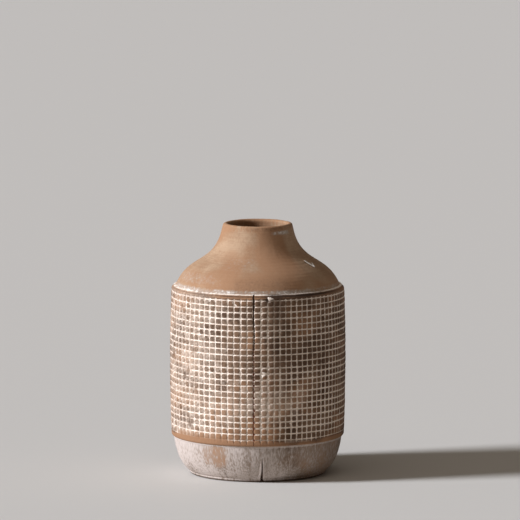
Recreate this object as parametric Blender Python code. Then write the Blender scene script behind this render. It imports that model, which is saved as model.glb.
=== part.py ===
"""Flower vase in low-fired terracotta, built up from the pieces that a potter joins.

A floor disc and a flared foot wall stand on a low foot ring. A plain body wall rises from the foot
and carries a thick slab that is wrapped round it, the textured band, whose two ends meet at a seam
at the front. A domed shoulder closes the body, and a neck and a rolled lip finish the mouth.

Metres, +Z up. The origin is the centre of the base, on the surface that the vase stands on.
The front is towards -Y. The vase has no moving parts.
"""

import math

import bmesh
import bpy

# ---- Driving dimensions -------------------------------------------------------------------

HEIGHT = 0.254  # ground to the top of the lip
BODY_RADIUS = 0.0886  # the band's outer face at its fullest
CLEARANCE = 0.0003  # between any two neighbours

RING_HEIGHT = 0.0032
RING_WIDTH = 0.013
RING_CORNER = 0.0030  # rounded lower outer edge of the ring
BASE_RADIUS = 0.0692  # outside of the foot ring

FLOOR_THICKNESS = 0.0065
FOOT_HEIGHT = 0.0385  # ground to the top of the foot wall
FOOT_INSET = 0.0023  # how far the foot wall lies inside the band's lower edge
FOOT_LEAN_LOW = -math.radians(62)  # negative leans away from the axis
FOOT_LEAN_HIGH = -math.radians(6)
FOOT_HANDLE_LOW = 0.005
FOOT_HANDLE_HIGH = 0.023

BODY_WALL = 0.0045
BAND_THICKNESS = 0.0054
BAND_BARREL = 0.0015  # how much the band's middle stands proud of its ends
BAND_TOP_ROUND = 0.0050
BAND_BOTTOM_ROUND = 0.0022
BAND_FLAT = 0.0004  # least flat beside a rounded edge
SEAM_ANGLE = math.radians(-92.5)  # just left of the front
SEAM_WIDTH = 0.0016
SEAM_RECESS = 0.0005

TOP_RISE = 0.0625  # from the band's upper edge to the top of the lip
SHOULDER_OVERHANG = 0.0009  # how far the shoulder's edge reaches over the band
SHOULDER_LEAN = math.radians(22)
SHOULDER_HANDLE = 0.031
NECK_JOINT = 0.52  # where along the curve the neck meets the shoulder, from 0 to 1
NECK_LEAN = math.radians(14)
NECK_HANDLE = 0.035
WALL = 0.0055  # shoulder, neck and lip
LIP_HEIGHT = 0.007
MOUTH_RADIUS = 0.0297  # the opening at its narrowest

SEGMENTS = 64  # facets round the axis
CURVE_POINTS = 6  # along each curved stretch of an outline
ROUND_POINTS = 3  # along each small rounded edge
LIP_POINTS = 7  # over the lip
SHARP_ANGLE = math.radians(40)

# ---- Sizes that follow --------------------------------------------------------------------

ledge_height = HEIGHT - TOP_RISE
band_bottom = FOOT_HEIGHT + CLEARANCE
band_middle = (band_bottom + ledge_height) / 2
band_half_height = (ledge_height - band_bottom) / 2
foot_bottom = RING_HEIGHT + CLEARANCE
shoulder_bottom = ledge_height + CLEARANCE
body_face = BAND_THICKNESS + CLEARANCE  # depth of the body wall's face under the band's
body_inside = body_face + BODY_WALL
band_top_round = min(BAND_TOP_ROUND, BAND_THICKNESS - BAND_FLAT)
band_bottom_round = min(BAND_BOTTOM_ROUND, BAND_THICKNESS - BAND_FLAT)
ring_corner = min(RING_CORNER, RING_HEIGHT)


# ---- Outlines: lists of (radius, height) --------------------------------------------------


def barrel_radius(height, depth=0.0):
    """Radius at a height on the band's outer face, or at a depth under it."""
    swell = BAND_BARREL * ((height - band_middle) / band_half_height) ** 2
    return BODY_RADIUS - swell - depth


def barrel_line(bottom, top, depth):
    """Points up the barrel-shaped body at a depth under the band's face."""
    steps = CURVE_POINTS - 2
    heights = [bottom + (top - bottom) * i / steps for i in range(steps + 1)]
    return [(barrel_radius(height, depth), height) for height in heights]


def arc(centre, radius, start, end, count):
    """Points on a circular arc, both ends included. Angle 0 points away from the axis."""
    angles = [start + (end - start) * i / count for i in range(count + 1)]
    return [(centre[0] + radius * math.cos(a), centre[1] + radius * math.sin(a)) for a in angles]


def bezier_point(start, start_lean, start_handle, end, end_lean, end_handle, t):
    """A point on a rising curve. A lean is the angle from vertical, towards the axis."""
    after = (
        start[0] - start_handle * math.sin(start_lean),
        start[1] + start_handle * math.cos(start_lean),
    )
    before = (
        end[0] + end_handle * math.sin(end_lean),
        end[1] - end_handle * math.cos(end_lean),
    )
    weights = ((1 - t) ** 3, 3 * (1 - t) ** 2 * t, 3 * (1 - t) * t**2, t**3)
    corners = (start, after, before, end)
    return tuple(sum(w * c[axis] for w, c in zip(weights, corners)) for axis in (0, 1))


def inward(points, distance):
    """A rising line moved square to itself, towards the inside of the vase."""
    moved = []
    for i, (radius, height) in enumerate(points):
        last = points[max(i - 1, 0)]
        following = points[min(i + 1, len(points) - 1)]
        along = (following[0] - last[0], following[1] - last[1])
        length = math.hypot(*along)
        moved.append(
            (radius - distance * along[1] / length, height + distance * along[0] / length)
        )
    return moved


def cut_at(points, height):
    """A rising line cut at a height, as the stretch below and the stretch above it."""
    below = [point for point in points if point[1] <= height]
    above = [point for point in points if point[1] > height]
    (low_radius, low_height), (high_radius, high_height) = below[-1], above[0]
    share = (height - low_height) / (high_height - low_height)
    cut = (low_radius + share * (high_radius - low_radius), height)
    return below + [cut], [cut] + above


def foot_lines():
    """The foot wall's outer and inner lines, each rising."""
    top = (barrel_radius(band_bottom) - FOOT_INSET, FOOT_HEIGHT)
    foot = (BASE_RADIUS, foot_bottom)
    outer = [
        bezier_point(
            foot, FOOT_LEAN_LOW, FOOT_HANDLE_LOW, top, FOOT_LEAN_HIGH, FOOT_HANDLE_HIGH, t
        )
        for t in (i / CURVE_POINTS for i in range(CURVE_POINTS + 1))
    ]
    thickness = top[0] - barrel_radius(band_bottom, body_inside)
    inner = inward(outer, thickness)
    inner[-1] = (inner[-1][0], FOOT_HEIGHT)
    return outer, inner


def lip_circle():
    """Centre and radius of the rolled lip."""
    radius = WALL / 2
    return (MOUTH_RADIUS + radius, HEIGHT - radius), radius


def neck_top():
    """The outer edge of the joint between neck and lip."""
    centre, radius = lip_circle()
    tangent = (
        centre[0] + radius * math.cos(NECK_LEAN),
        centre[1] + radius * math.sin(NECK_LEAN),
    )
    height = HEIGHT - LIP_HEIGHT
    return tangent[0] + (tangent[1] - height) * math.tan(NECK_LEAN), height


def top_point(t):
    """A point on the outer curve from the shoulder's edge, t = 0, to the lip, t = 1."""
    edge = (
        barrel_radius(ledge_height, BAND_THICKNESS) + SHOULDER_OVERHANG,
        shoulder_bottom,
    )
    return bezier_point(
        edge, SHOULDER_LEAN, SHOULDER_HANDLE, neck_top(), NECK_LEAN, NECK_HANDLE, t
    )


def top_line(start, end):
    """Points on that curve between two values of t."""
    return [top_point(start + (end - start) * i / CURVE_POINTS) for i in range(CURVE_POINTS + 1)]


def half_gap_at(t):
    """Half of the clearance, as a step in t on the curve of shoulder and neck."""
    step = 0.001
    below, above = top_point(t - step), top_point(t + step)
    speed = math.dist(below, above) / (2 * step)
    return CLEARANCE / 2 / speed


# ---- Making pieces ------------------------------------------------------------------------


def clay(name, colour, roughness):
    """A matte fired-clay finish."""
    finish = bpy.data.materials.new(name)
    finish.use_nodes = True
    shader = finish.node_tree.nodes["Principled BSDF"]
    shader.inputs["Base Color"].default_value = (*colour, 1.0)
    shader.inputs["Roughness"].default_value = roughness
    shader.inputs["Metallic"].default_value = 0.0
    return finish


def turned(name, outline, finish, start=0.0, sweep=math.tau, steps=SEGMENTS):
    """Turns a closed outline, or one that starts and ends on the axis, into one solid."""
    shape = bmesh.new()
    corners = [
        shape.verts.new((radius * math.cos(start), radius * math.sin(start), height))
        for radius, height in outline
    ]
    full_turn = sweep >= math.tau
    if full_turn:
        on_axis = outline[0][0] == 0.0
        ends = corners[1:] if on_axis else corners[1:] + corners[:1]
        profile = [shape.edges.new(pair) for pair in zip(corners, ends)]
    else:
        profile = [shape.faces.new(corners)]
    bmesh.ops.spin(
        shape,
        geom=corners + profile,
        axis=(0, 0, 1),
        cent=(0, 0, 0),
        angle=sweep,
        steps=steps,
        use_merge=full_turn,
    )
    bmesh.ops.remove_doubles(shape, verts=shape.verts, dist=1e-6)
    bmesh.ops.recalc_face_normals(shape, faces=shape.faces)
    mesh = bpy.data.meshes.new(name)
    shape.to_mesh(mesh)
    shape.free()
    mesh.materials.append(finish)
    mesh.shade_smooth()
    mesh.set_sharp_from_angle(angle=SHARP_ANGLE)
    piece = bpy.data.objects.new(name, mesh)
    bpy.context.collection.objects.link(piece)
    return piece


def make_foot_ring(finish):
    """The low ring that the vase stands on. It leaves the floor clear of the ground."""
    corner = arc(
        (BASE_RADIUS - ring_corner, ring_corner), ring_corner, 0.0, -math.pi / 2, ROUND_POINTS
    )
    inside = BASE_RADIUS - RING_WIDTH
    outline = [(BASE_RADIUS, RING_HEIGHT)] + corner + [(inside, 0.0), (inside, RING_HEIGHT)]
    turned("foot_ring", outline, finish)


def make_floor_disc(finish):
    """The slab that closes the bottom, let in between the sides of the foot wall."""
    top = foot_bottom + FLOOR_THICKNESS
    beside = cut_at(foot_lines()[1], top)[0]
    radius = min(point[0] for point in beside) - CLEARANCE
    outline = [(0.0, top), (radius, top), (radius, foot_bottom), (0.0, foot_bottom)]
    turned("floor_disc", outline, finish)


def make_foot_wall(finish):
    """The plain flared foot between the ring and the band."""
    outer, inner = foot_lines()
    seat = (inner[0][0], foot_bottom)
    turned("foot_wall", outer[::-1] + [seat] + inner, finish)


def make_body_wall(finish):
    """The plain cylinder behind the band."""
    outer = barrel_line(band_bottom, ledge_height, body_face)
    inner = barrel_line(band_bottom, ledge_height, body_inside)
    turned("body_wall", outer[::-1] + inner, finish)


def band_outline(depth):
    """Closed outline of the wrapped slab, with its face lowered by a depth."""
    high = ledge_height - band_top_round
    low = band_bottom + band_bottom_round
    upper = arc(
        (barrel_radius(high, depth) - band_top_round, high),
        band_top_round,
        math.pi / 2,
        0.0,
        ROUND_POINTS,
    )
    face = barrel_line(low, high, depth)[::-1][1:-1]
    lower = arc(
        (barrel_radius(low, depth) - band_bottom_round, low),
        band_bottom_round,
        0.0,
        -math.pi / 2,
        ROUND_POINTS,
    )
    return upper + face + lower + barrel_line(band_bottom, ledge_height, BAND_THICKNESS)


def make_textured_band(finish):
    """The thick slab wrapped round the body, open at its seam."""
    opening = SEAM_WIDTH / BODY_RADIUS
    turned(
        "textured_band",
        band_outline(0.0),
        finish,
        start=SEAM_ANGLE + opening / 2,
        sweep=math.tau - opening,
    )


def make_band_seam(finish):
    """The strip of slip that fills the seam, a little below the face."""
    opening = SEAM_WIDTH / BODY_RADIUS
    gap = CLEARANCE / barrel_radius(band_bottom, BAND_THICKNESS)
    turned(
        "band_seam",
        band_outline(SEAM_RECESS),
        finish,
        start=SEAM_ANGLE - opening / 2 + gap,
        sweep=opening - 2 * gap,
        steps=1,
    )


def make_shoulder(finish):
    """The domed piece that closes the body, from the band's top to half-way up the neck curve."""
    outer = top_line(0.0, NECK_JOINT - half_gap_at(NECK_JOINT))
    inner = cut_at(inward(outer, WALL), shoulder_bottom)[1]
    turned("shoulder", outer[::-1] + inner, finish)


def make_neck(finish):
    """The hollow-sided neck between shoulder and lip."""
    outer = top_line(NECK_JOINT + half_gap_at(NECK_JOINT), 1.0)
    turned("neck", outer[::-1] + inward(outer, WALL), finish)


def make_rim_lip(finish):
    """The rolled lip round the mouth."""
    centre, radius = lip_circle()
    over = arc(centre, radius, math.pi + NECK_LEAN, NECK_LEAN, LIP_POINTS)
    slope = (math.sin(NECK_LEAN), -math.cos(NECK_LEAN))
    run = math.dist(neck_top(), over[-1]) - CLEARANCE
    outer_foot = (over[-1][0] + slope[0] * run, over[-1][1] + slope[1] * run)
    inner_foot = (over[0][0] + slope[0] * run, over[0][1] + slope[1] * run)
    turned("rim_lip", over + [outer_foot, inner_foot], finish)


def build():
    """Clears the scene and makes the nine pieces."""
    for old in list(bpy.data.objects):
        bpy.data.objects.remove(old, do_unlink=True)
    smooth_clay = clay("smooth_clay", (0.45, 0.30, 0.21), 0.85)
    washed_clay = clay("washed_clay", (0.58, 0.44, 0.34), 0.9)
    limed_clay = clay("limed_clay", (0.62, 0.53, 0.45), 0.92)
    raw_clay = clay("raw_clay", (0.38, 0.24, 0.16), 0.95)
    slip = clay("slip", (0.30, 0.16, 0.10), 0.9)
    make_foot_ring(limed_clay)
    make_floor_disc(raw_clay)
    make_foot_wall(limed_clay)
    make_body_wall(raw_clay)
    make_textured_band(washed_clay)
    make_band_seam(slip)
    make_shoulder(smooth_clay)
    make_neck(smooth_clay)
    make_rim_lip(smooth_clay)


build()
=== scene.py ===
"""Looks of the clay flower vase: each piece of the frame gets its fine surface and finish here.

The vase is turned about the Z axis. Angles are measured from the front, which faces -Y, and grow
towards +X. A line is an array of (radius, height). A grid is an array of points, with rows along a
line and columns round the axis. A mask holds a value for each point of a grid. Units are metres.
"""

import math
from types import SimpleNamespace

import bmesh
import bpy
import numpy as np
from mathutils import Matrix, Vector


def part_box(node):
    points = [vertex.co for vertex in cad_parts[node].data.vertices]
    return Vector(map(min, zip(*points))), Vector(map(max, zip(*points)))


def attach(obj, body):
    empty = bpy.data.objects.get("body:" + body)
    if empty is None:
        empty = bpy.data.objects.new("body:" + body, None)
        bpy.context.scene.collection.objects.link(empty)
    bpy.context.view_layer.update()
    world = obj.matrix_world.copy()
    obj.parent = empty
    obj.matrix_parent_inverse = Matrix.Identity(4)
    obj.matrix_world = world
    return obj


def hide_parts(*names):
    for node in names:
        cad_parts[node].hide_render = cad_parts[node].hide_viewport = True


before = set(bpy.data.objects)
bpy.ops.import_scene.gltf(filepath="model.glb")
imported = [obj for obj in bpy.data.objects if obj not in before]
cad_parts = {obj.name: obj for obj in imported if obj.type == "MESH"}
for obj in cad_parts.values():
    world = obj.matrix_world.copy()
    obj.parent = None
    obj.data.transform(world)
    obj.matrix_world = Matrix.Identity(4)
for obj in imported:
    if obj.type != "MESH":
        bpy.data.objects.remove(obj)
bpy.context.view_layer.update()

MM = 0.001

# ---- Places taken from the frame ----------------------------------------------------------

RING_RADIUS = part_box("foot_ring")[1].x
RING_TOP = (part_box("foot_ring")[1].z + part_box("foot_wall")[0].z) / 2
FLOOR_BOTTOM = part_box("floor_disc")[0].z
FLOOR_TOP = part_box("floor_disc")[1].z
FLOOR_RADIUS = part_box("floor_disc")[1].x
FOOT_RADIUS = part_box("foot_wall")[1].x
BODY_BOTTOM = (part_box("foot_wall")[1].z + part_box("textured_band")[0].z) / 2
BODY_TOP = (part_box("textured_band")[1].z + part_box("shoulder")[0].z) / 2
BAND_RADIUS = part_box("textured_band")[1].x
BODY_INSIDE = BAND_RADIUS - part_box("body_wall")[1].x  # depth of the body wall under the band's face
SHOULDER_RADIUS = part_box("shoulder")[1].x
NECK_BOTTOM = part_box("neck")[0].z
LIP_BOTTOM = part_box("rim_lip")[0].z
LIP_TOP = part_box("rim_lip")[1].z

# ---- Shape of the turned pieces -----------------------------------------------------------

WALL = 5.5 * MM
BAND_THICKNESS = 5.4 * MM
BODY_THICKNESS = 4.5 * MM
BAND_BARREL = 1.5 * MM  # how much the band's middle stands proud of its ends
BAND_TOP_ROUND = 5.0 * MM
BAND_BOTTOM_ROUND = 2.2 * MM
RING_WIDTH = 13 * MM
RING_CORNER = 3.0 * MM
MOUTH_RADIUS = 29.7 * MM
FOOT_CURVE = dict(start_lean=-62, start_handle=5 * MM, end_lean=-6, end_handle=23 * MM)
TOP_CURVE = dict(start_lean=22, start_handle=31 * MM, end_lean=14, end_handle=35 * MM)
FLOOR_FILLET = 4 * MM
FLOOR_TUCK = 3 * MM  # how far the floor's underside runs into the foot wall, so that no gap shows

TURN_STEPS = 320  # columns round the smooth pieces
FINE_GAP = 0.8 * MM  # between rows where the surface is seen
COARSE_GAP = 1.6 * MM  # and inside
HIDDEN_GAP = 30 * MM  # and between the band and the body wall
SHARP_ANGLE = math.radians(38)

# ---- Pattern of the band ------------------------------------------------------------------

COLUMNS = 86
ROWS = 23
TOP_STRIP = 5.4 * MM  # plain edge above the squares
BOTTOM_STRIP = 6.6 * MM
RELIEF = 0.85 * MM  # how deep the grooves are pressed
LEDGE_CREASE = 1.7 * MM  # how far below the band's top a fine crease runs
GROOVE_HALF_WIDTH = 0.84 * MM
CORNER = 2.0  # how far from a groove its corners begin to round off, in half widths
SEAM = math.radians(-2.6)
SEAM_HALF_WIDTH = 0.32 * MM
SEAM_TORN_HALF_WIDTH = 0.95 * MM  # where its top quarter has opened
COLUMN_DRIFT = 0.057  # how much narrower the columns are just right of the seam
WIDE_START = math.radians(1.6)  # extra width of the first columns right of the seam
ACROSS_CELL = (0.0, 0.075, 0.14, 0.26, 0.74, 0.86, 0.925)  # shares of a cell where columns lie
UP_CELL = (0.0, 0.08, 0.15, 0.50, 0.85, 0.92)  # and where rows lie

# ---- Small marks --------------------------------------------------------------------------

NOTCH_ANGLE = 3.3  # degrees: the cut that a tool left in the foot
NOTCH_TOP = 26 * MM
NOTCH_DEPTH = 1.4 * MM
PATCH_ANGLE = -31.0  # degrees: the largest rubbed patch on the foot
DRIP_ANGLE = -25.0  # degrees: a trickle of slip low on the foot
CHIP_ANGLE = 8.0  # degrees: the chip in the band's top edge
SCRATCH_ANGLE = 60.0  # degrees: the hooked scratch on the shoulder
SCRATCH_LEVEL = 216 * MM
SCRATCH_RADIUS = 57 * MM  # of the shoulder at that level
SCRATCH_SLOPE = 1.5  # length along the shoulder for each length upwards there
SMEAR_LEVEL = 247 * MM  # whitewash smeared near the lip

# Where the smooth pieces have extra columns: middle and half width in degrees, and how many.
FINE_TURNS = (
    (NOTCH_ANGLE, 2.2, 17),
    (DRIP_ANGLE, 2.4, 17),
    (SCRATCH_ANGLE, 9.0, 49),
)

# Splashes of whitewash on the band: degrees, height and radius of each.
FLECKS = (
    (3.6, 112.5 * MM, 2.6 * MM),
    (2.2, 109.6 * MM, 1.9 * MM),
    (-16.0, 184 * MM, 2.2 * MM),
    (-14.6, 181 * MM, 2.5 * MM),
    (CHIP_ANGLE, BODY_TOP - 3.4 * MM, 3.6 * MM),
    (CHIP_ANGLE - 1, BODY_TOP - 6.4 * MM, 2.2 * MM),
    (22, 62 * MM, 1.6 * MM),
    (-33, 96 * MM, 1.6 * MM),
    (118, 150 * MM, 2.4 * MM),
    (-140, 87 * MM, 2.0 * MM),
)

INSIDE_WASH = 0.05  # trace of whitewash on bare clay

# ---- Noise and masks ----------------------------------------------------------------------

LATTICE = 32  # cells after which the noise repeats


def lumps(x, y, z, size, seed):
    """Smooth noise between -1 and 1 at points in space, with lumps of about one size."""
    lattice = np.random.default_rng(seed).uniform(-1, 1, (LATTICE, LATTICE, LATTICE))
    cells = [np.asarray(c, float) / size for c in np.broadcast_arrays(x, y, z)]
    base = [np.floor(c).astype(int) for c in cells]
    part = [c - b for c, b in zip(cells, base)]
    ease = [p * p * (3 - 2 * p) for p in part]
    noise = 0.0
    for corner in range(8):
        step = [(corner >> axis) & 1 for axis in range(3)]
        weight = 1.0
        for s, e in zip(step, ease):
            weight = weight * (e if s else 1 - e)
        noise = noise + weight * lattice[tuple((b + s) % LATTICE for b, s in zip(base, step))]
    return noise


def on_wall(angle, height, size, seed, upright=1.0):
    """Noise that wraps round a wall of the vase. upright stretches it vertically."""
    x, y = BAND_RADIUS * np.sin(angle), -BAND_RADIUS * np.cos(angle)
    return lumps(x, y, height / upright, size, seed)


def smooth(low, high, value):
    """0 at low, 1 at high, and an S-curve between. low may be the larger."""
    share = np.clip((value - low) / (high - low), 0, 1)
    return share * share * (3 - 2 * share)


def around(angle, centre, half_width, soft):
    """1 within half_width of centre, falling to 0 over soft. All three are in degrees."""
    away = np.abs((np.degrees(angle) - centre + 180) % 360 - 180)
    return smooth(half_width + soft, half_width, away)


def spot(angle, height, centre, level, radius):
    """1 at one place on the wall and 0 beyond radius. centre is in degrees."""
    turn = (angle - math.radians(centre) + math.pi) % math.tau - math.pi
    return smooth(radius, 0.4 * radius, np.hypot(turn * BAND_RADIUS, height - level))


def ledge_holes(angle, height):
    """Pits in the whitewash along the band's top edge, mostly at the left."""
    mostly = 0.25 + 0.75 * around(angle, -95, 35, 25)
    return smooth(0.3, 0.6, on_wall(angle, height, 2.4 * MM, 61)) * mostly


def lamp_side_shade(angle):
    """1 at the left, where the ledge gets less whitewash as painted shade, to offset the strong lamp
    there.
    """
    return around(angle, -85, 50, 28)


def rings(place, gap, shift):
    """Even rings between -1 and 1, as turning and fingers leave them."""
    return np.sin(place * math.tau / gap + shift)


# ---- Lines --------------------------------------------------------------------------------


def curve(start, end, start_lean, start_handle, end_lean, end_handle):
    """A rising line of many points. A lean is degrees from vertical, towards the axis."""
    start, end = np.array(start), np.array(end)
    lean_a, lean_b = math.radians(start_lean), math.radians(end_lean)
    after = start + start_handle * np.array([-math.sin(lean_a), math.cos(lean_a)])
    before = end - end_handle * np.array([-math.sin(lean_b), math.cos(lean_b)])
    t = np.linspace(0, 1, 201)[:, None]
    bend = 3 * (1 - t) ** 2 * t * after + 3 * (1 - t) * t**2 * before
    return (1 - t) ** 3 * start + bend + t**3 * end


def arc(centre, radius, start, end):
    """Points on an arc, both ends included. 0 degrees points away from the axis, 90 up."""
    a = np.radians(np.linspace(start, end, 25))
    return np.stack([centre[0] + radius * np.cos(a), centre[1] + radius * np.sin(a)], 1)


def spaced(line, gap):
    """The same line with its points about one gap apart."""
    steps = np.linalg.norm(np.diff(line, axis=0), axis=1)
    lengths = np.concatenate([[0], np.cumsum(steps)])
    places = np.linspace(0, lengths[-1], max(2, round(lengths[-1] / gap) + 1))
    return np.stack([np.interp(places, lengths, line[:, axis]) for axis in (0, 1)], 1)


def sides(line):
    """Unit normals of a line, on its right-hand side as it is followed."""
    along = np.gradient(line, axis=0)
    normal = np.stack([along[:, 1], -along[:, 0]], 1)
    return normal / np.linalg.norm(normal, axis=1, keepdims=True)


def barrel(height, depth=0.0):
    """Radius of the body at a height, on the band's face or at a depth under it."""
    middle = (BODY_BOTTOM + BODY_TOP) / 2
    half = (BODY_TOP - BODY_BOTTOM) / 2
    return BAND_RADIUS - depth - BAND_BARREL * ((height - middle) / half) ** 2


def barrel_line(bottom, top, depth, gap):
    """A rising line at a depth under the band's face."""
    heights = np.linspace(bottom, top, round((top - bottom) / gap) + 1)
    return np.stack([barrel(heights, depth), heights], 1)


# ---- Grids and solids ---------------------------------------------------------------------


def turn_angles():
    """Columns round the smooth pieces, closer together where there is small detail."""
    columns = [np.linspace(-math.pi, math.pi, TURN_STEPS, endpoint=False)]
    for middle, half_width, count in FINE_TURNS:
        columns.append(np.radians(np.linspace(middle - half_width, middle + half_width, count)))
    return np.unique(np.round(np.concatenate(columns), 4))


ANGLES = turn_angles()


def turned_grid(line, angle, raised=0.0):
    """Points of a line turned about the axis and raised along its normals."""
    normal = sides(line)
    radius = line[:, :1] + normal[:, :1] * raised
    height = line[:, 1:] + normal[:, 1:] * raised
    radius, height, angle = np.broadcast_arrays(radius, height, angle)
    return np.stack([radius * np.sin(angle), -radius * np.cos(angle), height], 2)


def solid(node, slot, grid, wash=0.0, stain_and_shade=0.0, soot_and_shade=0.0, full_turn=True, hollow=True):
    """Makes the closed solid that stands for a node, from the rows round its section.

    Its three masks hold whitewash, redder clay with some painted shadow, and dark dirt with painted
    shade and painted shadow. Without full_turn the ends of the turn get flat caps. Without hollow the
    section starts and ends on the axis.
    """
    rows, columns = grid.shape[:2]
    index = np.arange(rows * columns).reshape(rows, columns)
    above, right = np.roll(index, -1, 0), np.roll(index, -1, 1)
    quads = np.stack([index, right, np.roll(above, -1, 1), above], 2)
    quads = quads[: rows if hollow else -1, : columns if full_turn else -1]
    faces = quads.reshape(-1, 4).tolist()
    if not full_turn:
        faces += [index[:, 0].tolist(), index[::-1, -1].tolist()]
    mesh = bpy.data.meshes.new(node + "_skin")
    mesh.from_pydata(grid.reshape(-1, 3).tolist(), [], faces)
    for name, mask in (("wash", wash), ("stain_and_shade", stain_and_shade), ("soot_and_shade", soot_and_shade)):
        layer = mesh.attributes.new(name, "FLOAT", "POINT")
        layer.data.foreach_set("value", np.broadcast_to(mask, (rows, columns)).ravel())
    shape = bmesh.new()
    shape.from_mesh(mesh)
    bmesh.ops.remove_doubles(shape, verts=shape.verts, dist=1e-6)
    bmesh.ops.recalc_face_normals(shape, faces=shape.faces)
    shape.to_mesh(mesh)
    shape.free()
    mesh.materials.append(FINISHES[slot])
    mesh.shade_smooth()
    mesh.set_sharp_from_angle(angle=SHARP_ANGLE)
    piece = bpy.data.objects.new(node + "_skin", mesh)
    bpy.context.collection.objects.link(piece)
    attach(piece, "root")
    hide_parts(node)


# ---- Finishes -----------------------------------------------------------------------------


def tone(red, green, blue):
    """A colour as a screen shows it, from 0 to 255, in the units that shaders use."""
    shares = [value / 255 for value in (red, green, blue)]
    return [s / 12.92 if s <= 0.04045 else ((s + 0.055) / 1.055) ** 2.4 for s in shares] + [1.0]


def add(tree, kind, inputs=(), **settings):
    """Adds a shader node, with its sockets linked or set."""
    made = tree.nodes.new(kind)
    for name, value in settings.items():
        setattr(made, name, value)
    for socket, value in dict(inputs).items():
        if isinstance(value, bpy.types.NodeSocket):
            tree.links.new(value, made.inputs[socket])
        else:
            made.inputs[socket].default_value = value
    return made


def grain(tree, place, size, stretch=(1, 1, 1), detail=3.0):
    """Noise from 0 to 1 with features of about one size, stretched by a factor along each axis."""
    scale = [1 / (size * factor) for factor in stretch]
    mapped = add(tree, "ShaderNodeMapping", {"Vector": place, "Scale": scale})
    inputs = {"Vector": mapped.outputs["Vector"], "Scale": 1.0, "Detail": detail}
    return add(tree, "ShaderNodeTexNoise", inputs).outputs["Fac"]


def spread(tree, value, low, high, to_low=0.0, to_high=1.0):
    """A value's range low to high brought to another range, with an S-curve."""
    inputs = {"Value": value, "From Min": low, "From Max": high, "To Min": to_low, "To Max": to_high}
    made = add(tree, "ShaderNodeMapRange", inputs, interpolation_type="SMOOTHSTEP")
    return made.outputs["Result"]


def total(tree, *terms):
    """The sum of sockets, each with its factor."""
    value = 0.0
    for socket, factor in terms:
        inputs = {0: socket, 1: factor, 2: value}
        value = add(tree, "ShaderNodeMath", inputs, operation="MULTIPLY_ADD").outputs[0]
    return value


def blend(tree, share, low, high):
    """A mix of two colours."""
    return add(tree, "ShaderNodeMix", {0: share, 6: low, 7: high}, data_type="RGBA").outputs[2]


# Dark colour for dirt, and for painted shade and painted shadow in cuts, creases and near the ground.
SOOT_AND_SHADE = tone(62, 44, 32)


def mark(tree, place, rough, angle, height, size):
    """A ragged mark on the band's face, from 0 to 1. angle is in degrees, size is its radius."""
    turn = math.radians(angle)
    centre = (BAND_RADIUS * math.sin(turn), -BAND_RADIUS * math.cos(turn), height)
    away = add(tree, "ShaderNodeVectorMath", {0: place, 1: centre}, operation="DISTANCE")
    away = total(tree, (away.outputs["Value"], 1 / size), (rough, 1.6))
    return spread(tree, away, 1.75, 1.45)


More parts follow.
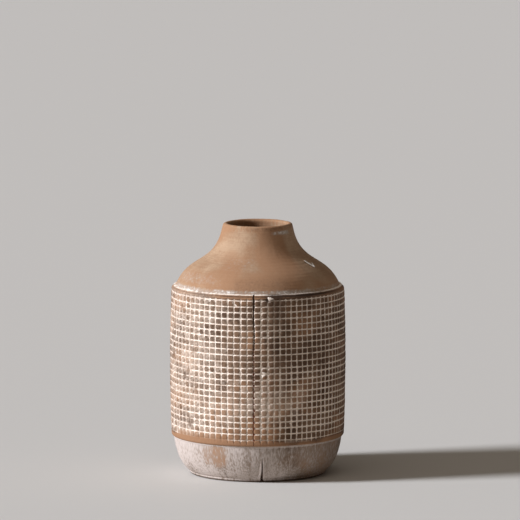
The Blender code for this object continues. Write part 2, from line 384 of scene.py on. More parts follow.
def fired_clay(
    name,
    light,
    dark,
    warm,
    wash,
    thin_wash,
    brush=(1, 1, 1),  # how far the wash's strokes are stretched along each axis
    brushed=0.5,  # how much its strokes break the wash up
    patchy=0.15,  # how much broad patches do
    soft=0.22,  # how gently it thins out
    pits=0.3,
    ridges=0.0,  # how strong the fine turning lines are
    marks=(),  # splashes of whitewash
):
    """Matte fired clay with warm clouds, specks and pits, under whitewash where the mask has it."""
    finish = bpy.data.materials.new(name)
    finish.use_nodes = True
    tree = finish.node_tree
    shader = tree.nodes["Principled BSDF"]
    place = add(tree, "ShaderNodeTexCoord").outputs["Object"]
    clouds = grain(tree, place, 24 * MM)
    specks = grain(tree, place, 2.2 * MM, detail=4.0)
    lines = grain(tree, place, 0.9 * MM, stretch=(60, 60, 1), detail=2.0)
    sand = grain(tree, place, 0.45 * MM, detail=2.0)
    strokes = grain(tree, place, 2.6 * MM, stretch=brush, detail=4.0)

    # The clay goes from dark to light with its grain, and to warm in clouds, in stains and in painted
    # shadow.
    body = total(tree, (clouds, 0.55), (specks, 0.35), (lines, 0.10 + ridges))
    body = spread(tree, body, 0.37 + ridges / 2, 0.65 + ridges / 2)
    clay = blend(tree, body, tone(*dark), tone(*light))
    flame = grain(tree, place, 46 * MM, stretch=(1, 1, 0.7), detail=2.0)
    stain_and_shade = add(tree, "ShaderNodeAttribute", attribute_name="stain_and_shade").outputs["Fac"]
    flame = total(tree, (flame, 1.0), (stain_and_shade, 0.5))
    clay = blend(tree, spread(tree, flame, 0.48, 0.75, 0.0, 0.75), clay, tone(*warm))

    # Whitewash covers it where the mask, broken up by noise, passes one half.
    mask = add(tree, "ShaderNodeAttribute", attribute_name="wash").outputs["Fac"]
    sandy = 0.30
    amount = total(tree, (mask, 1.0), (strokes, brushed), (sand, sandy), (clouds, patchy))
    middle = 0.5 + (brushed + sandy + patchy) / 2
    cover = spread(tree, amount, middle - soft, middle + soft)
    thick = total(tree, (strokes, 1.0), (mask, 0.5))
    lime = blend(tree, spread(tree, thick, 0.75, 1.04), tone(*thin_wash), tone(*wash))
    colour = blend(tree, cover, clay, lime)

    # Dark dirt, painted shade and painted shadow turn the colour dark where their mask passes.
    soot_and_shade = add(tree, "ShaderNodeAttribute", attribute_name="soot_and_shade").outputs["Fac"]
    soot_and_shade = spread(tree, total(tree, (soot_and_shade, 1.0), (specks, 0.4)), 0.3, 1.0)
    colour = blend(tree, soot_and_shade, colour, SOOT_AND_SHADE)
    for splash in marks:
        colour = blend(tree, mark(tree, place, specks, *splash), colour, tone(*wash))
    tree.links.new(colour, shader.inputs["Base Color"])

    dullness = total(tree, (specks, 0.16), (cover, 0.06))
    dullness = add(tree, "ShaderNodeMath", {0: dullness, 1: 0.78}, operation="ADD").outputs[0]
    tree.links.new(dullness, shader.inputs["Roughness"])
    shader.inputs["Specular IOR Level"].default_value = 0.25

    height = total(tree, (sand, 0.6), (specks, pits), (lines, 0.3 + ridges), (cover, 0.35))
    bump = add(tree, "ShaderNodeBump", {"Height": height, "Strength": 0.55, "Distance": 0.3 * MM})
    tree.links.new(bump.outputs["Normal"], shader.inputs["Normal"])
    return finish


def make_finishes():
    """The finishes, by the record's slot names."""
    return {
        "smooth_clay": fired_clay(
            "smooth_clay_finish",
            light=(174, 144, 116),
            dark=(156, 124, 96),
            warm=(158, 116, 84),
            wash=(232, 224, 215),
            thin_wash=(176, 165, 154),
            brushed=0.7,
            soft=0.32,
            ridges=0.15,
        ),
        "washed_clay": fired_clay(
            "washed_clay_finish",
            light=(130, 102, 80),
            dark=(84, 61, 45),
            warm=(164, 122, 90),
            wash=(243, 227, 212),
            thin_wash=(202, 182, 164),
            brushed=0.30,
            soft=0.30,
            pits=0.6,
            marks=FLECKS,
        ),
        "limed_clay": fired_clay(
            "limed_clay_finish",
            light=(148, 126, 107),
            dark=(114, 94, 78),
            warm=(172, 134, 105),
            wash=(198, 184, 175),
            thin_wash=(168, 153, 142),
            brush=(0.5, 0.5, 2.2),
            brushed=1.2,
            soft=0.36,
            patchy=0.7,
            pits=1.0,
        ),
        "raw_clay": fired_clay(
            "raw_clay_finish",
            light=(162, 131, 107),
            dark=(136, 107, 85),
            warm=(153, 115, 88),
            wash=(190, 172, 154),
            thin_wash=(172, 148, 126),
            brushed=0.6,
            ridges=0.15,
            pits=0.6,
        ),
        "slip": fired_clay(
            "slip_finish",
            light=(120, 68, 45),
            dark=(82, 43, 28),
            warm=(134, 76, 46),
            wash=(160, 120, 96),
            thin_wash=(140, 98, 74),
            brushed=0.5,
            pits=0.8,
        ),
    }


# ---- Foot ---------------------------------------------------------------------------------


def foot_notch(height):
    """How much of the foot's cut is at each point, from 0 to 1, and how much of its raised rim."""
    away = np.abs(ANGLES - math.radians(NOTCH_ANGLE)) * RING_RADIUS
    half = 0.5 * MM + 1.4 * MM * smooth(0.7 * NOTCH_TOP, 0, height)
    half = half * (1 + 0.35 * on_wall(ANGLES, height, 2.5 * MM, 36))
    strength = smooth(NOTCH_TOP, 0.5 * NOTCH_TOP, height)
    cut = smooth(half, 0.25 * half, away) * strength
    rim = smooth(1.2 * MM, 0.4 * MM, np.abs(away - half - 0.5 * MM)) * strength
    return cut, rim


def upper_foot(height):
    """0 low on the foot and 1 high on it, where the whitewash has been rubbed."""
    return smooth(8 * MM, 24 * MM, height)


def foot_wash(height):
    """Whitewash brushed on the foot: thick at the left and front, thin at the right, and thinner by
    the ground as painted shade where the foot meets the floor.
    """
    strokes = on_wall(ANGLES, height, 2.6 * MM, 31, upright=9) * around(ANGLES, -5, 25, 35)
    patches = on_wall(ANGLES, height, 22 * MM, 32)
    rubbed = 0.42 * around(ANGLES, PATCH_ANGLE, 3, 8) + 0.13 * around(ANGLES, -44, 5, 6)
    rubbed = rubbed + 0.16 * around(ANGLES, 19, 3, 7)
    right_bare = around(ANGLES, 92, 44, 50)
    edge = smooth(BODY_BOTTOM - 2.0 * MM, BODY_BOTTOM - 1.0 * MM, height)
    # Painted shade: less whitewash just above the ground, where the foot meets the floor.
    ground_shade = smooth(1.6 * MM, 0.4 * MM, height)
    wash = 0.83 + 0.22 * strokes + 0.20 * patches - 0.15 * around(ANGLES, 3, 7, 8)
    return wash - rubbed * upper_foot(height) - 0.34 * right_bare + 0.45 * edge - 0.7 * ground_shade


def make_foot_wall():
    """The flared foot, with the tool's cut, a crease above it and a trickle of slip."""
    outer = curve((RING_RADIUS, RING_TOP), (FOOT_RADIUS, BODY_BOTTOM), **FOOT_CURVE)
    outer = spaced(outer, FINE_GAP)
    thickness = FOOT_RADIUS - barrel(BODY_BOTTOM, BODY_INSIDE + BODY_THICKNESS)
    inner = spaced(outer - sides(outer) * thickness, COARSE_GAP)
    inner[0, 1], inner[-1, 1] = RING_TOP, BODY_BOTTOM
    line = np.vstack([outer, inner[::-1]])
    height = line[:, 1:]
    seen = (np.arange(len(line)) < len(outer))[:, None]
    cut, rim = foot_notch(height)

    settled = smooth(0, 4 * MM, height - RING_TOP)
    uneven = 0.22 * on_wall(ANGLES, height, 26 * MM, 33) + 0.05 * on_wall(ANGLES, height, 4 * MM, 34)
    fillet = smooth(BODY_BOTTOM - 1.5 * MM, BODY_BOTTOM, height)
    outside = (uneven * settled + 0.45 * rim + 1.2 * fillet) * MM - NOTCH_DEPTH * cut
    inside = 0.2 * MM * rings(height, 5 * MM, ANGLES) * settled
    grid = turned_grid(line, ANGLES, np.where(seen, outside, inside))

    # The tool's cut loses whitewash and goes dark as painted shadow. The dark mask also holds painted
    # shade under the band's overhang and just above the ground, beside the crease and the trickle.
    wash = np.where(seen, foot_wash(height) + 0.7 * rim - cut, INSIDE_WASH)
    patch = seen * around(ANGLES, PATCH_ANGLE, 5, 9) * upper_foot(height)
    crease = around(ANGLES, NOTCH_ANGLE, 0.15, 0.5) * smooth(BODY_BOTTOM, 0.5 * BODY_BOTTOM, height)
    wander = DRIP_ANGLE + on_wall(0, height, 7 * MM, 35)
    drip = around(ANGLES, wander, 0.1, 0.6) * smooth(15 * MM, 11 * MM, height)
    shade = smooth(BODY_BOTTOM - 3.5 * MM, BODY_BOTTOM - 2.2 * MM, height)
    contact_shade = smooth(RING_TOP + 3 * MM, RING_TOP, height)
    soot_and_shade = seen * (0.75 * cut + 0.5 * crease + 0.5 * drip + 0.12 * shade + 0.2 * contact_shade)
    solid("foot_wall", "limed_clay", grid, wash, 0.9 * patch, soot_and_shade)


def make_foot_ring():
    """The low ring that the vase stands on."""
    corner = arc((RING_RADIUS - RING_CORNER, RING_CORNER), RING_CORNER, -90, 0)
    inside = RING_RADIUS - RING_WIDTH
    line = np.vstack(
        [
            spaced(np.array([(inside, RING_TOP), (inside, 0.0)]), 1.1 * MM)[:-1],
            spaced(np.array([(inside, 0.0), corner[0]]), COARSE_GAP)[:-1],
            spaced(corner, 0.7 * MM),
            [(RING_RADIUS, RING_TOP)],
        ]
    )
    radius, height = line[:, :1], line[:, 1:]
    outside = smooth(RING_RADIUS - RING_CORNER, RING_RADIUS, radius)
    cut, _ = foot_notch(height)
    grid = turned_grid(line, ANGLES, -NOTCH_DEPTH * cut * outside)
    # Painted shadow in the tool's cut, and painted shade low on the ring where it meets the floor.
    soot_and_shade = (0.75 * cut + 0.6 * smooth(3.2 * MM, 1.2 * MM, height)) * outside
    solid("foot_ring", "limed_clay", grid, foot_wash(height) * outside, soot_and_shade=soot_and_shade)


def make_floor_disc():
    """The slab that closes the bottom, with a fillet round its top."""
    underside_end = (FLOOR_RADIUS + FLOOR_TUCK, FLOOR_BOTTOM)
    fillet = arc((FLOOR_RADIUS - FLOOR_FILLET, FLOOR_TOP + FLOOR_FILLET), FLOOR_FILLET, -90, -20)
    line = np.vstack(
        [
            spaced(np.array([(0.0, FLOOR_BOTTOM), underside_end]), COARSE_GAP),
            [fillet[-1]],
            spaced(fillet, COARSE_GAP)[::-1][1:],
            spaced(np.array([fillet[0], (0.0, FLOOR_TOP)]), COARSE_GAP)[1:],
        ]
    )
    radius, height = line[:, :1], line[:, 1:]
    on_top = smooth(FLOOR_BOTTOM, FLOOR_TOP, height) * smooth(0, 12 * MM, radius)
    grid = turned_grid(line, ANGLES)
    grid[:, :, 2] += 0.25 * MM * rings(radius, 7 * MM, ANGLES) * on_top
    solid("floor_disc", "raw_clay", grid, INSIDE_WASH, hollow=False)


# ---- Body wall ----------------------------------------------------------------------------


def make_body_wall():
    """The cylinder behind the band, with the rings that the potter's fingers left inside."""
    outer = barrel_line(BODY_BOTTOM, BODY_TOP, BAND_THICKNESS, HIDDEN_GAP)
    inner = barrel_line(BODY_BOTTOM, BODY_TOP, BODY_INSIDE + BODY_THICKNESS, COARSE_GAP)[::-1]
    line = np.vstack([outer, inner])
    height = line[:, 1:]
    inside = (np.arange(len(line)) >= len(outer))[:, None]
    ends = smooth(0, 6 * MM, height - BODY_BOTTOM) * smooth(0, 6 * MM, BODY_TOP - height)
    fingers = rings(height, 6.5 * MM, on_wall(ANGLES, height, 30 * MM, 41) - ANGLES)
    raised = (0.32 * fingers + 0.15 * on_wall(ANGLES, height, 9 * MM, 42)) * MM
    solid("body_wall", "raw_clay", turned_grid(line, ANGLES, inside * ends * raised), INSIDE_WASH)


# ---- Band ---------------------------------------------------------------------------------


def band_front(heights):
    """The band's outer line at the heights of its rows, and how many points come before them."""
    low, high = BODY_BOTTOM + BAND_BOTTOM_ROUND, BODY_TOP - BAND_TOP_ROUND
    lower = arc((barrel(low) - BAND_BOTTOM_ROUND, low), BAND_BOTTOM_ROUND, -90, 0)
    upper = arc((barrel(high) - BAND_TOP_ROUND, high), BAND_TOP_ROUND, 0, 90)
    below = spaced(np.vstack([lower, [(barrel(heights[0]), heights[0])]]), 0.9 * MM)
    above = spaced(np.vstack([[(barrel(heights[-1]), heights[-1])], upper]), 0.75 * MM)
    squares = np.stack([barrel(heights), heights], 1)
    return np.vstack([below[:-1], squares, above[1:]]), len(below) - 1


def groove_angles(chance):
    """Middles of the upright grooves, once round from the seam's right side to its left."""
    share = np.arange(COLUMNS + 1) / COLUMNS
    drifted = math.tau * (share - COLUMN_DRIFT * np.sin(math.pi * share) / math.pi)
    wide = WIDE_START * np.minimum(np.arange(COLUMNS + 1) / 2.5, 1) * (1 - share)
    jitter = chance.uniform(-0.13, 0.13, COLUMNS + 1) * MM / BAND_RADIUS
    return SEAM + drifted + wide + jitter


def torn_open(height):
    """1 in the top quarter, where the seam has opened, and 0 below."""
    return smooth(0.62 * BODY_TOP, 0.80 * BODY_TOP, height)


def seam_half_width(height, side):
    """Half of the seam's opening, in radians. side is -1 or 1, for its two ragged edges."""
    torn = torn_open(height)
    width = SEAM_HALF_WIDTH + (SEAM_TORN_HALF_WIDTH - SEAM_HALF_WIDTH) * torn
    ragged = lumps(side * 0.1, 0.0, height, 3.5 * MM, 51) + lumps(side * 0.1, 0.0, height, 11 * MM, 52)
    wander = (0.2 + 0.5 * torn) * MM * lumps(0.3, 0.0, height, 5 * MM, 64)
    return (width + (0.12 + 0.18 * torn) * MM * ragged + side * wander) / BAND_RADIUS


def between(values, place):
    """Values at whole places, read in between along the last axis."""
    low = np.minimum(place.astype(int), values.shape[-1] - 2)
    part = place - low
    return values[..., low] * (1 - part) + values[..., low + 1] * part


def near_groove(place, widths, cell):
    """How close points are to their nearest groove, from 1 in its middle to 0 on the flat.

    place counts grooves, and widths are their half widths.
    """
    nearest = np.round(place).astype(int)
    distance = np.abs(place - nearest) * cell
    return np.maximum(0, 1 - distance / (CORNER * widths[nearest]))


def lay_out_band(chance):
    """Where the points of the band's face lie, as one set of arrays.

    column and row count the grooves, and are whole in the middle of one. below and above say how
    far a point is past the squares, on the plain edges, and squares is where there are any.
    """
    face = SimpleNamespace()
    face.column = np.concatenate([np.add.outer(np.arange(COLUMNS), ACROSS_CELL).ravel(), [COLUMNS]])
    rows = np.concatenate([np.add.outer(np.arange(ROWS), UP_CELL).ravel(), [ROWS]])
    grooves = groove_angles(chance)
    bottom, top = BODY_BOTTOM + BOTTOM_STRIP, BODY_TOP - TOP_STRIP
    levels = np.linspace(bottom, top, ROWS + 1)
    levels[1:-1] += chance.uniform(-0.35, 0.35, ROWS - 1) * MM
    face.line, first = band_front(between(levels, rows))
    face.row = np.interp(np.arange(len(face.line)), first + np.arange(len(rows)), rows)[:, None]
    face.pitch = (top - bottom) / ROWS
    height = face.height = face.line[:, 1:]
    face.below, face.above = bottom - height, height - top
    face.past = np.maximum(face.below, face.above)
    face.squares = face.past < 1e-6 * MM

    # Each groove wanders a little on its own, and the mesh follows it. The seam's edges are ragged.
    lines = np.arange(COLUMNS + 1)
    sway = lumps(lines * 0.0137, 0.0, height, 14 * MM, 53) * 0.32 * MM / BAND_RADIUS
    sway[:, [0, -1]] = 0
    near_right, near_left = np.clip(1 - face.column, 0, 1), np.clip(face.column - COLUMNS + 1, 0, 1)
    angle = between(grooves + sway, face.column)
    angle = angle + near_right * (SEAM + seam_half_width(height, 1) - grooves[0])
    angle = angle + near_left * (SEAM + math.tau - seam_half_width(height, -1) - grooves[-1])
    face.angle = angle
    bow = np.stack([on_wall(angle[0], row * 0.0191, 18 * MM, 54) for row in range(ROWS + 1)], 1)
    face.bow = between(bow, face.row[:, 0]).T * 0.3 * MM * smooth(4 * MM, 0, face.past)
    return face


def find_places(face):
    """Adds masks of places on the band where its shape or its colours change."""
    angle, height = face.angle, face.height
    face.worn = around(angle, 11.5, 3, 5) * smooth(0.80 * BODY_TOP, 0.90 * BODY_TOP, height)
    face.chip = spot(angle, height, CHIP_ANGLE, BODY_TOP - 2.8 * MM, 1.9 * MM)
    lowest = smooth(BODY_BOTTOM + 14 * MM, BODY_BOTTOM + 7 * MM, height)
    face.low_left = around(angle, -42, 18, 14) * lowest
    low = smooth(BODY_BOTTOM + 60 * MM, BODY_BOTTOM + 25 * MM, height)
    face.low_front = around(angle, -14, 14, 16) * low
    belt = smooth(34 * MM, 8 * MM, np.abs(height - 86 * MM))
    face.mid_front = around(angle, 6, 22, 14) * belt
    # Painted shade: the squares at the upper right are darkened.
    face.dim = around(angle, 32, 18, 15) * smooth(0.52 * BODY_TOP, 0.62 * BODY_TOP, height)
    face.from_crease = np.abs(height - BODY_TOP + LEDGE_CREASE)


def press_grooves(face, chance):
    """Adds how strong the grooves are at each point: upright ones, level ones and both."""
    angle, height = face.angle, face.height
    cell = BAND_RADIUS * math.tau / COLUMNS
    widths = chance.uniform(0.85, 1.12, COLUMNS + 1) * GROOVE_HALF_WIDTH
    face.upright = near_groove(face.column, widths, cell)
    widths = chance.uniform(0.85, 1.12, ROWS + 1) * GROOVE_HALF_WIDTH
    level = near_groove(face.row, widths, face.pitch)
    on_edge = np.maximum(0, 1 - face.past / (CORNER * GROOVE_HALF_WIDTH))
    face.level = np.where(face.squares, level, on_edge)

    # Upright grooves run out on the plain edges, and the lowest level one is faint in places.
    front = around(angle, 8, 32, 14)
    down = np.clip(1 - np.maximum(face.below, 0) / ((3 + 7 * front) * MM), 0, 1)
    up = np.clip(1 - np.maximum(face.above, 0) / (5.5 * MM), 0, 1)
    by_seam = 0.62 + 0.38 * smooth(0, 0.6, np.minimum(face.column, COLUMNS - face.column))
    patchy = 0.5 + 0.5 * on_wall(angle, height, 40 * MM, 55)
    lowest = np.where(np.round(face.row) == 0, 0.62 + 0.38 * np.maximum(front, patchy * 0.6), 1.0)
    sunk = np.hypot(face.upright * by_seam * down * up, face.level * lowest)
    wider = 0.10 * around(angle, -64, 20, 22)
    groove = smooth(1 - 1 / CORNER - wider, 1 - 0.3 / CORNER - wider, sunk)
    face.groove = groove * (1 - 0.62 * face.low_left)


def shape_squares(face, chance):
    """Adds each square's own height, tilt and trace of wash, and the swell of its top."""
    row = np.clip(face.row.astype(int), 0, ROWS - 1)
    column = np.minimum(face.column.astype(int), COLUMNS - 1)
    across, upward = 2 * (face.column - column) - 1, 2 * (face.row - row) - 1
    own = [chance.uniform(-1, 1, (ROWS, COLUMNS))[row, column] for _ in range(4)]
    face.swell = 1 - (across**2 + upward**2) / 2
    top = 0.12 * own[0] + 0.10 * own[1] * across + 0.10 * own[2] * upward + 0.16 * face.swell
    face.top = np.where(face.squares, top, 0.05)
    face.trace = own[3]


def band_relief(face):
    """How far each point of the band is raised."""
    angle, height = face.angle, face.height
    broad = 0.16 * on_wall(angle, height, 30 * MM, 56) + 0.05 * on_wall(angle, height, 1.6 * MM, 57)
    ledge = smooth(BODY_TOP - 1.1 * MM, BODY_TOP - 0.3 * MM, height)
    bead = ledge * (0.35 + 0.25 * on_wall(angle, height, 5 * MM, 58))
    crease = 0.3 * smooth(0.9 * MM, 0.2 * MM, face.from_crease)
    raised = face.top * (1 - face.groove) + broad + bead - crease + 0.5 * face.chip - 0.3 * face.worn
    return raised * MM - RELIEF * face.groove * (1 - 0.6 * face.worn)


def band_wash(face):
    """Whitewash fills the grooves, hazes the squares on the left and hardly marks the edges."""
    angle, height, groove = face.angle, face.height, face.groove
    hazy = 0.05 + 0.32 * around(angle, -60, 20, 34) + 0.10 * face.trace
    hazy = hazy + 0.04 * face.low_front + 0.27 * face.mid_front
    hazy = hazy + 0.07 * on_wall(angle, height, 26 * MM, 60) + 0.10 * np.maximum(face.swell - 0.4, 0)
    edges = 0.02 + 0.38 * around(angle, -60, 20, 34) * smooth(0, 1 * MM, face.above)
    low_right = around(angle, 28, 8, 8) * (face.below > 0)
    edges = edges + 0.4 * low_right * smooth(5 * MM, 2 * MM, face.below)

    gaps = 0.28 * smooth(0.35, 0.85, on_wall(angle, height, 7 * MM, 59))
    # Less whitewash at the back and round to the left; at the left it is painted shade against the strong
    # lamp there.
    back_and_lamp_side = 0.26 * around(angle, 215, 88, 28)
    faint = 0.4 * around(angle, 12, 12, 10) * (np.round(face.row) == 0) * face.level
    # The grooves get less whitewash at the upper right as painted shade, and at the left as painted shade
    # against the strong lamp there.
    lined = 1.06 - gaps - back_and_lamp_side - faint - 0.14 * face.dim - 0.12 * around(angle, -50, 25, 20)
    # Painted highlight: the level grooves at the right get more whitewash than the upright ones.
    lined = lined + 0.15 * (face.level - face.upright) * around(angle, 45, 45, 25)

    wash = np.where(face.squares, hazy, edges) * (1 - groove) + lined * smooth(0.05, 0.8, groove)
    wash = wash * (1 - 0.35 * face.worn) * (1 - 0.3 * face.low_left) + 0.9 * face.chip
    ledge = smooth(BODY_TOP - 0.9 * MM, BODY_TOP - 0.5 * MM, height)
    # Less whitewash on the ledge at the left, as painted shade against the strong lamp there.
    ledge = ledge * (1.12 - 0.60 * lamp_side_shade(angle) - 0.9 * ledge_holes(angle, height))
    return wash + ledge + 0.5 * smooth(BODY_BOTTOM + 1.0 * MM, BODY_BOTTOM + 0.3 * MM, height)


def band_stain(face):
    """Redder clay on the plain edges, low on the band and here and there beside the seam."""
    angle, height = face.angle, face.height
    by_seam = around(angle, math.degrees(SEAM), 2, 4) * on_wall(angle, height, 25 * MM, 63)
    strips = [smooth(1 * MM, 3 * MM, past) for past in (face.below, face.above)]
    strips = np.maximum(strips[0], 0.5 * strips[1])
    strips = strips * (0.8 + 0.5 * on_wall(angle, height * 0.3, 16 * MM, 65))
    strips = strips * (0.35 + 0.3 * around(angle, -40, 35, 30))
    return 0.8 * face.low_left + 0.3 * face.low_front + 0.4 * face.mid_front + 0.4 * by_seam + strips


def band_soot_and_shade(face):
    """Painted shadow under the ledge and beside the chip, a darker top edge at the front, dirt on
    the worn squares, and painted shade on the squares at the upper right.
    """
    angle, height = face.angle, face.height
    # Painted shadow in the crease under the ledge and beside the chip.
    under_ledge = smooth(1.0 * MM, 0.3 * MM, face.from_crease) * around(angle, 0, 60, 60)
    beside_chip = spot(angle, height, CHIP_ANGLE - 1.6, BODY_TOP - 5.0 * MM, 2.4 * MM)
    top_edge = around(angle, 8, 24, 20) * smooth(0, 1 * MM, face.above)
    soot_and_shade = 0.4 * under_ledge + 0.5 * beside_chip + 0.16 * face.worn + 0.16 * top_edge
    # Painted shade on the squares at the upper right.
    return soot_and_shade + 0.3 * face.dim * (1 - 0.4 * face.groove)


def make_band():
    """The slab of raised squares, wrapped round the body, and the slip in its seam."""
    chance = np.random.default_rng(7)
    face = lay_out_band(chance)
    find_places(face)
    press_grooves(face, chance)
    shape_squares(face, chance)

    # The back is plain, and its columns lead from the front's last row to its first.
    back = barrel_line(BODY_BOTTOM, BODY_TOP, BAND_THICKNESS, HIDDEN_GAP)[::-1]
    masks = band_relief(face), band_wash(face), band_stain(face), band_soot_and_shade(face)
    raised, wash, stain_and_shade, soot_and_shade = [np.pad(mask, ((0, len(back)), (0, 0))) for mask in masks]
    back_angles = np.linspace(face.angle[-1], face.angle[0], len(back))
    line = np.vstack([face.line, back])
    grid = turned_grid(line, np.vstack([face.angle, back_angles]), raised)
    grid[: len(face.line), :, 2] += face.bow
    solid("textured_band", "washed_clay", grid, wash, stain_and_shade, soot_and_shade, full_turn=False)
    make_seam(line, np.arange(len(line)) < len(face.line))


def make_seam(line, seen):
    """The strip of slip in the seam, which reaches under both its edges."""
    height = line[:, 1:]
    under = 0.5 * MM / BAND_RADIUS
    across = np.linspace(0, 1, 7)
    left, right = seam_half_width(height, -1) + under, seam_half_width(height, 1) + under
    torn = torn_open(height)
    lowered = 0.42 + 0.83 * torn + 0.3 * lumps(across * 0.01, 0.0, height, 2.5 * MM, 62)
    lowered = np.where(seen[:, None], lowered, -0.1) * MM
    grid = turned_grid(line, SEAM - left + (left + right) * across, -lowered)
    solid("band_seam", "slip", grid, soot_and_shade=0.9 * torn, full_turn=False)


# ---- Shoulder, neck and lip ---------------------------------------------------------------


def from_stroke(across, upward, start, end):
    """Distance of points from a straight stroke on the surface."""
    run, rise = end[0] - start[0], end[1] - start[1]
    along = ((across - start[0]) * run + (upward - start[1]) * rise) / (run**2 + rise**2)
    along = np.clip(along, 0, 1)
    return np.hypot(across - start[0] - along * run, upward - start[1] - along * rise)


def scratch(height):
    """The hooked scratch on the shoulder's right side: its pale burr, and the cut beside it."""
    across = (ANGLES - math.radians(SCRATCH_ANGLE)) * SCRATCH_RADIUS
    upward = (height - SCRATCH_LEVEL) * SCRATCH_SLOPE
    burr = from_stroke(across, upward, (-1.7 * MM, 3.9 * MM), (1.8 * MM, -3.8 * MM))
    hook = from_stroke(across, upward, (2.0 * MM, -3.8 * MM), (6.2 * MM, 0.2 * MM))
    cut = from_stroke(across, upward, (-3.3 * MM, 3.0 * MM), (0.4 * MM, -4.8 * MM))
    pale = smooth(1.5 * MM, 0.7 * MM, burr) + 0.7 * smooth(1.3 * MM, 0.4 * MM, hook)
    return pale, smooth(0.8 * MM, 0.2 * MM, cut)


def top_line():
    """The line up the outside of shoulder, neck and lip and down their inside.

    With it come the four points where those pieces meet, outside and then inside.
    """
    centre = np.array([MOUTH_RADIUS + WALL / 2, LIP_TOP - WALL / 2])
    lean = math.radians(TOP_CURVE["end_lean"])
    side = centre + WALL / 2 * np.array([math.cos(lean), math.sin(lean)])
    neck_end = side + (side[1] - LIP_BOTTOM) * np.array([math.tan(lean), -1])
    whole = curve((SHOULDER_RADIUS, BODY_TOP), neck_end, **TOP_CURVE)
    joint = np.argmin(np.abs(whole[:, 1] - NECK_BOTTOM))
    low, high = spaced(whole[: joint + 1], FINE_GAP), spaced(whole[joint:], FINE_GAP)
    lip = arc(centre, WALL / 2, math.degrees(lean), 180 + math.degrees(lean))
    lip = spaced(np.vstack([neck_end, lip]), 0.5 * MM)
    outer = np.vstack([low, high[1:]])
    inner = outer - sides(outer) * WALL
    inner = inner[inner[:, 1] > BODY_TOP]
    inner = np.vstack([[(inner[0, 0], BODY_TOP)], inner])
    line = np.vstack([outer, lip[1:], inner[::-1]])
    lip_out = len(outer) - 1
    lip_in = lip_out + len(lip)
    return line, (len(low) - 1, lip_out, lip_in, lip_in + len(high) - 1)


def shoulder_wash(height):
    """White along the shoulder's edge, and grey smudges above it and on the neck."""
    above = height - BODY_TOP
    reach = 0.4 * around(ANGLES, -85, 25, 30) + 0.4 * on_wall(ANGLES, height, 6 * MM, 71) - 0.5
    edge = smooth(reach + 0.5, reach, above / MM)
    # Less white along the shoulder's edge at the left, as painted shade against the strong lamp there.
    edge = edge * (1.10 - 0.58 * lamp_side_shade(ANGLES) - 0.9 * ledge_holes(ANGLES, height))
    smears = 0.40 + 0.12 * around(ANGLES, -15, 40, 40) + 0.20 * on_wall(ANGLES, height * 1.5, 16 * MM, 72)
    smudge = (smooth(5.5 * MM, 2 * MM, above) + 0.3 * smooth(22 * MM, 3 * MM, above)) * smears
    left = around(ANGLES, -58, 18, 20) * smooth(22 * MM, 14 * MM, above) * smooth(4 * MM, 10 * MM, above)
    front = around(ANGLES, -18, 14, 12) * smooth(12 * MM, 3 * MM, np.abs(height - 218 * MM))
    smudge = smudge + 0.3 * np.maximum(left, front)
    neck = around(ANGLES, 40, 12, 12) * smooth(4 * MM, 0.5 * MM, np.abs(height - SMEAR_LEVEL))
    neck = neck * (0.85 + 0.25 * on_wall(ANGLES, height, 12 * MM, 78))
    return edge + 0.80 * smudge + 0.68 * neck


def shoulder_stain_and_shade(height):
    """Redder clay round the lip and on the lower front, and painted shadow at the neck's front right."""
    rim = smooth(LIP_TOP - 8 * MM, LIP_TOP - 3 * MM, height)
    rim = rim * (0.6 + on_wall(ANGLES, height, 3 * MM, 77))
    front = around(ANGLES, 0, 25, 50) * smooth(BODY_TOP + 38 * MM, BODY_TOP + 8 * MM, height)
    higher = around(ANGLES, 2, 12, 14) * smooth(BODY_TOP + 20 * MM, BODY_TOP + 34 * MM, height)
    # Painted shadow: the neck's front right is darkened towards the warm tone.
    right = around(ANGLES, 24, 12, 18) * smooth(NECK_BOTTOM - 4 * MM, NECK_BOTTOM + 10 * MM, height)
    return 0.5 * rim + 0.45 * front + 0.3 * higher + 0.6 * right


def shoulder_painted_shade(height):
    """Painted shade low on the shoulder's front and on the lip's front."""
    low = around(ANGLES, 5, 18, 16) * smooth(BODY_TOP + 24 * MM, BODY_TOP + 10 * MM, height)
    lip = smooth(LIP_TOP - 7 * MM, LIP_TOP - 3 * MM, height) * smooth(LIP_TOP, LIP_TOP - 1.5 * MM, height)
    lip = lip * around(ANGLES, 12, 24, 22) * (0.9 + 0.4 * on_wall(ANGLES, height, 2 * MM, 79))
    return 0.27 * low + 0.3 * lip


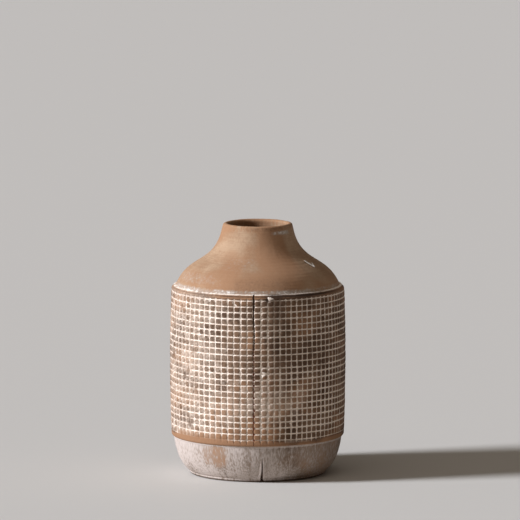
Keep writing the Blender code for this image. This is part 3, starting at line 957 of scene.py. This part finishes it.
def make_top():
    """Shoulder, neck and lip, cut from one continuous line so that their joints don't show."""
    line, (joint_out, lip_out, lip_in, joint_in) = top_line()
    height = line[:, 1:]
    rows = np.arange(len(line))
    seen = (rows <= lip_in)[:, None]
    burr, cut = scratch(height)

    turning = 0.04 * rings(height, 2.9 * MM, 2 * on_wall(ANGLES, height, 20 * MM, 73))
    uneven = 0.20 * on_wall(ANGLES, height, 24 * MM, 74) + 0.05 * on_wall(ANGLES, height, 5 * MM, 75)
    by_ledge = 0.2 * smooth(BODY_TOP + 1.4 * MM, BODY_TOP + 0.4 * MM, height)
    outside = uneven + turning + by_ledge - 0.4 * cut + 0.6 * burr
    inside = 0.28 * rings(height, 6 * MM, -ANGLES) + 0.15 * on_wall(ANGLES, height, 9 * MM, 76)
    grid = turned_grid(line, ANGLES, np.where(seen, outside, inside) * MM)

    # Painted shadow: the cut beside the scratch loses whitewash and goes dark. The shoulder and lip also
    # get painted shade.
    wash = np.where(seen, shoulder_wash(height) + 1.3 * burr - 0.4 * cut, 0.0)
    stain_and_shade = shoulder_stain_and_shade(height)
    soot_and_shade = seen * (0.7 * cut + shoulder_painted_shade(height))
    parts = {
        "shoulder": (rows <= joint_out) | (rows >= joint_in),
        "neck": ((rows >= joint_out) & (rows <= lip_out)) | ((rows >= lip_in) & (rows <= joint_in)),
        "rim_lip": (rows >= lip_out) & (rows <= lip_in),
    }
    for node, part in parts.items():
        solid(node, "smooth_clay", grid[part], wash[part], stain_and_shade[part], soot_and_shade[part])


# ---- Studio -------------------------------------------------------------------------------


def plain_finish(name, colour, roughness):
    """A flat matte colour, for the floor."""
    finish = bpy.data.materials.new(name)
    finish.use_nodes = True
    shader = finish.node_tree.nodes["Principled BSDF"]
    shader.inputs["Base Color"].default_value = tone(*colour)
    shader.inputs["Roughness"].default_value = roughness
    shader.inputs["Specular IOR Level"].default_value = 0.2
    return finish


def make_floor():
    """A plain pale floor, wide enough to fill the view."""
    mesh = bpy.data.meshes.new("studio_floor")
    reach = 60.0  # metres
    corners = [(-reach, -reach, 0), (reach, -reach, 0), (reach, reach, 0), (-reach, reach, 0)]
    mesh.from_pydata(corners, [], [(0, 1, 2, 3)])
    mesh.materials.append(plain_finish("floor_finish", (205, 201, 195), 0.8))
    floor = bpy.data.objects.new("studio_floor", mesh)
    bpy.context.collection.objects.link(floor)


def aim(thing, target):
    """Turns a lamp or camera towards a point."""
    thing.rotation_euler = (Vector(target) - thing.location).to_track_quat("-Z", "Y").to_euler()


def soft_sun(name, azimuth, elevation, spread_angle, strength, colour):
    """Even, soft light from one side. Azimuth is in degrees from the front, towards +X."""
    light = bpy.data.lights.new(name, "SUN")
    light.angle = math.radians(spread_angle)
    light.energy = strength
    light.color = colour
    lamp = bpy.data.objects.new(name, light)
    turn, rise = math.radians(azimuth), math.radians(elevation)
    lamp.location = (math.cos(rise) * math.sin(turn), -math.cos(rise) * math.cos(turn), math.sin(rise))
    aim(lamp, (0, 0, 0))
    bpy.context.collection.objects.link(lamp)


def make_studio():
    """The floor, a strong lamp at the left, a weak one above, and dim warm air."""
    make_floor()
    soft_sun("key_light", -76, 27, 12, 4.8, (0.98, 1.02, 1.11))
    soft_sun("top_light", -35, 72, 60, 0.32, (1.0, 0.92, 0.82))
    world = bpy.data.worlds.new("studio_air")
    world.use_nodes = True
    background = world.node_tree.nodes["Background"]
    background.inputs["Color"].default_value = (1.0, 0.87, 0.75, 1.0)
    background.inputs["Strength"].default_value = 0.115
    bpy.context.scene.world = world
    bpy.context.scene.view_settings.view_transform = "Standard"


def make_camera():
    """The photographer's view: far away, a little above the vase, through a long lens."""
    camera = bpy.data.cameras.new("camera")
    camera.lens = 472
    camera.sensor_width = 36
    camera.clip_end = 200
    eye = bpy.data.objects.new("camera", camera)
    sideways = 0.0023  # the vase stands a little left of the middle
    eye.location = (sideways, -6.82, 1.106)
    aim(eye, (sideways, 0, 0.216))
    bpy.context.collection.objects.link(eye)
    bpy.context.scene.camera = eye


# ---- Everything ---------------------------------------------------------------------------

FINISHES = make_finishes()
make_foot_wall()
make_foot_ring()
make_floor_disc()
make_body_wall()
make_band()
make_top()
make_studio()
make_camera()
